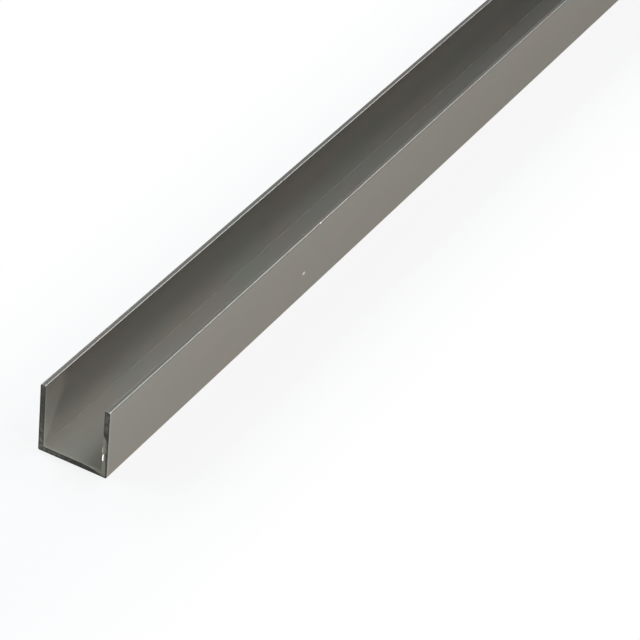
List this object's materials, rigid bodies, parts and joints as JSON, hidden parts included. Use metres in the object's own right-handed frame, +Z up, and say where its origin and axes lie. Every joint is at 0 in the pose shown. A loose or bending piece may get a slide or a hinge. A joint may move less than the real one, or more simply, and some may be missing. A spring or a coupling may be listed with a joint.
{
  "type": "metal channel section",
  "caption": "Straight length of square U-shaped metal channel, open along the top, cut square at both ends.",
  "frame": {"origin": "on the underside of the web, on the middle line of its width, at half the bar's length", "axes": "+X along the bar, away from the cut end that the picture shows; +Y across the bar to the far flange; +Z up, out of the channel's open side"},
  "size_m": [1, 0.02, 0.02],
  "materials": {
    "channel_metal": "satin mill finish with faint die lines along the bar, and bare sawn ends"
  },
  "bodies": {
    "root": {"channel": "channel_metal"}
  },
  "joints": []
}
